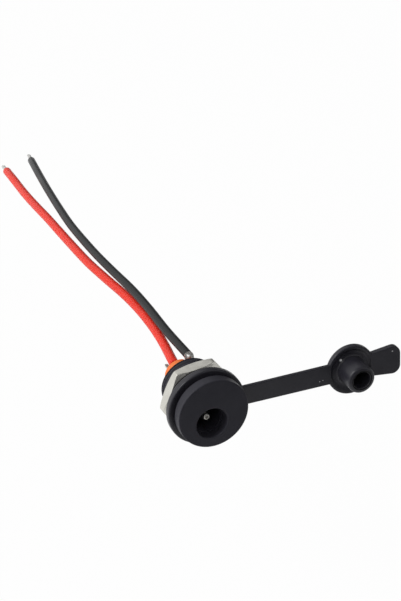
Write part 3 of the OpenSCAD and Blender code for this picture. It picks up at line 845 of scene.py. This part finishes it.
# %% Finishes
DUST, WHITE_DUST = (0.55, 0.55, 0.56), (0.9, 0.9, 0.9)
CAP_SPECKS = [((0.02346, 0.00151, -0.00034), 0.00017, DUST),
              ((0.02415, 0.00151, -0.00021), 0.00015, DUST),
              ((0.02808, 0.00205, 0.00303), 0.00029, WHITE_DUST),
              ((0.03898, 0.00152, 0.00282), 0.0002, DUST)]
RED_DEPTH = 0.001
MOULDED = {
    "black_plastic": (((0.029, 0.0286, 0.0372), (0.035, 0.0345, 0.0437)), (0.4, 0.5), 0.16, 5000.0, 1.2e-5),
    "cap_rubber": (((0.0202, 0.0197, 0.0262), (0.0258, 0.0252, 0.0326)), (0.33, 0.43), 0.38,
                   4200.0, 1.6e-5, CAP_SPECKS),
    "orange_plastic": (((0.86, 0.19, 0.035), (0.93, 0.23, 0.05)), (0.42, 0.55), 0.35, 3000.0, 1e-5),
    "red_pvc": (((0.75, 0.04, 0.022), (0.8, 0.046, 0.026)), (0.4, 0.5), 0.2, 1800.0, 6e-6, (), RED_DEPTH),
    "black_pvc": (((0.012, 0.0132, 0.014), (0.017, 0.0182, 0.019)), (0.38, 0.5), 0.26, 1800.0, 8e-6)}
PLATED = {
    "nickel_plate": (((0.67, 0.66, 0.61), (0.59, 0.58, 0.53)), (0.26, 0.38), 900.0, 8e-6),
    "plated_contact": (((0.72, 0.71, 0.68), (0.55, 0.53, 0.49)), (0.2, 0.36), 1200.0, 8e-6),
    "tinned_copper": (((0.66, 0.66, 0.64), (0.5, 0.49, 0.47)), (0.25, 0.4), 1600.0, 8e-6),
    "solder": (((0.46, 0.46, 0.45), (0.34, 0.34, 0.33)), (0.5, 0.62), 1400.0, 2e-5)}

finishes = {name: moulded(name, *values) for name, values in MOULDED.items()}
finishes.update({name: plated(name, *values) for name, values in PLATED.items()})
print("finishes:", ", ".join(finishes))

# %% [markdown]
# Each solid and each new piece names its finish by a slot. The solids that stay in view get
# theirs from the record, and the new pieces carry the slot that they were settled with.

# %% Finishes on the pieces
slot_of = {part["node"]: part["material_slot"] for part in frame["record"]["subparts"]}
for node, solid in frame["nodes"].items():
    solid.data.materials.clear()
    solid.data.materials.append(finishes[slot_of[node]])
finished = [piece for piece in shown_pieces() if "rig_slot" in piece]
for piece in finished:
    piece.data.materials.append(finishes[piece["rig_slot"]])
print(len(slot_of), "solids and", len(finished), "new pieces have a finish")

# %% [markdown]
# ## Floor
# The picture was taken on a white table. The floor shows white to the camera and in reflections,
# and is mixed with an ordinary pale surface, so it keeps the object's soft shadow. A bright lamp
# could whiten it too, but that would wash out the object. The floor lies low, because the cap can
# swing round under the barrel.

# %% Floor
FLOOR_Z, FLOOR_HALF = -0.046, 30.0
FLOOR_WHITE, FLOOR_PAINT = 0.97, (0.85, 0.85, 0.85, 1)


def seen_directly(tree):
    """1 for rays from the camera, a mirror or glass, and 0 for rays that only carry light."""
    path = tree.nodes.new("ShaderNodeLightPath").outputs
    return math_node(tree, "MAXIMUM", path["Is Camera Ray"],
                     math_node(tree, "MAXIMUM", path["Is Glossy Ray"], path["Is Transmission Ray"]))


def pale_floor():
    """White where it is seen, ordinary pale paint for the light."""
    material = bpy.data.materials.new("pale_floor")
    material.use_nodes = True
    tree = material.node_tree
    tree.nodes.remove(tree.nodes["Principled BSDF"])
    kinds = ("BsdfDiffuse", "Emission", "MixShader")
    paint, glow, blend = (tree.nodes.new("ShaderNode" + kind) for kind in kinds)
    paint.inputs["Color"].default_value = FLOOR_PAINT
    tree.links.new(math_node(tree, "MULTIPLY", seen_directly(tree), FLOOR_WHITE), blend.inputs["Fac"])
    tree.links.new(paint.outputs[0], blend.inputs[1])
    tree.links.new(glow.outputs[0], blend.inputs[2])
    tree.links.new(blend.outputs[0], tree.nodes["Material Output"].inputs["Surface"])
    return material


def stage_sheet(name, points, faces, material):
    """A sheet of the studio, in metres, which isn't part of the object."""
    mesh = bpy.data.meshes.new(name)
    mesh.from_pydata(points, [], faces)
    mesh.materials.append(material)
    sheet = stand(name, mesh)
    sheet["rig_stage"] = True
    return sheet


floor_corners = [(x * FLOOR_HALF, y * FLOOR_HALF, FLOOR_Z) for x, y in ((-1, -1), (1, -1), (1, 1), (-1, 1))]
stage_sheet("floor", floor_corners, [(0, 1, 2, 3)], pale_floor())
print("floor at", FLOOR_Z, "m")

# %% [markdown]
# ## Room
# The room is white, but dark towards the back right and overhead, so that metal and gloss mirror
# both light and dark. A panorama could light the scene. Here the world's strength simply falls off
# with the direction of a ray: once along a level direction and once with its height.

# %% Room
DARK_SIDE, ROOM_DARK, ROOM_TURN = (0.9, 0.43, 0.0), 0.12, (0.48, 0.64)
ROOM_TOP, ROOM_RISE = 0.15, (0.62, 0.9)

world = scene.world or bpy.data.worlds.new("studio")
scene.world = world
world.use_nodes = True
tree = world.node_tree
aim = tree.nodes.new("ShaderNodeTexCoord").outputs["Generated"]
height = tree.nodes.new("ShaderNodeSeparateXYZ")
tree.links.new(aim, height.inputs[0])
toward = tree.nodes.new("ShaderNodeVectorMath")
toward.operation = "DOT_PRODUCT"
toward.inputs[1].default_value = DARK_SIDE
tree.links.new(aim, toward.inputs[0])
walls = ramp_node(tree, toward.outputs["Value"], *ROOM_TURN, 1.0, ROOM_DARK)
ceiling = ramp_node(tree, height.outputs["Z"], *ROOM_RISE, 1.0, ROOM_TOP)
background = tree.nodes["Background"].inputs
tree.links.new(math_node(tree, "MULTIPLY", walls, ceiling), background["Strength"])
background["Color"].default_value = (1, 1, 1, 1)
print("room: walls 1 to", ROOM_DARK, "and ceiling", ROOM_TOP)

# %% [markdown]
# ## Dark card
# Bright metal and gloss look flat when everything round them is white. A photographer stands a
# dark card behind the camera, so that edges and bevels mirror something dark. This one lies on
# the floor in front of the object, bends up and stands behind the camera. Only its reflection is
# wanted, so the camera itself doesn't see it.

# %% Dark card
CARD_LEFT, CARD_RIGHT, CARD_NEAR, CARD_FAR, CARD_TOP, CARD_BEND = -0.5, 0.47, -0.07, -0.5, 0.4, 0.12
CARD_LIFT, CARD_ROWS, CARD_GREY, CARD_ROUGH = 0.002, 9, (0.13, 0.13, 0.14, 1), 0.9


def card_grid():
    """A strip with its width along X: level on the floor, then a quarter circle, then upright."""
    turn = np.linspace(0, np.pi / 2, CARD_ROWS)
    y = np.concatenate([[CARD_NEAR], CARD_FAR + CARD_BEND * (1 - np.sin(turn)), [CARD_FAR]])
    z = np.concatenate([[0], CARD_BEND * (1 - np.cos(turn)), [CARD_TOP]]) + FLOOR_Z + CARD_LIFT
    side = np.array([CARD_LEFT, CARD_RIGHT])
    return np.stack(np.broadcast_arrays(side[None, :], y[:, None], z[:, None]), -1)


card_paint, _, card_shader = new_finish("dark_card", PLAIN_SPECULAR)
card_shader["Base Color"].default_value = CARD_GREY
card_shader["Roughness"].default_value = CARD_ROUGH
card_points = card_grid()
card_rows = np.arange(len(card_points) - 1)[:, None] * 2 + np.array([[0, 1, 3, 2]])
card = stage_sheet("dark_card", card_points.reshape(-1, 3).tolist(), card_rows.tolist(), card_paint)
card.visible_camera = False
print("card", np.round(np.ptp(card_points.reshape(-1, 3), axis=0), 2), "m")

# %% [markdown]
# ## Lamps
# A large soft lamp at the upper left shapes the object, and a small one near it draws the crisp
# highlights. The large one alone would light the object too, but its highlights would all be soft.

# %% Lamps
KEY_PLACE, KEY_AIM, KEY_SIZE, KEY_WATTS = (-0.62, 0.08, 0.55), (0.0, 0.03, 0.0), 0.45, 2.5
SMALL_PLACE, SMALL_AIM, SMALL_SIZE, SMALL_WATTS = (-0.5, -0.08, 0.55), (0.0, 0.0, 0.0), 0.12, 0.8


def soft_lamp(name, place, aim, size, watts):
    """A square area lamp at a place, facing another."""
    lamp = bpy.data.lights.new(name, "AREA")
    lamp.size, lamp.energy = size, watts
    holder = stand(name, lamp)
    holder.location = place
    holder.rotation_euler = (Vector(aim) - Vector(place)).to_track_quat("-Z", "Y").to_euler()


soft_lamp("key_lamp", KEY_PLACE, KEY_AIM, KEY_SIZE, KEY_WATTS)
soft_lamp("small_lamp", SMALL_PLACE, SMALL_AIM, SMALL_SIZE, SMALL_WATTS)
scene.view_settings.view_transform = "Standard"
print("lamps:", ", ".join(light.name for light in bpy.data.lights))

# %% [markdown]
# ## The last line
# The box of the finished object should stay close to the box of the solids, so both are printed for
# comparison.

# %% Size and finish
now_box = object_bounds()
for label, box in (("size", now_box), ("solids", cad_box)):
    print(label, [round(high - low, 5) for low, high in zip(*box)], "m")
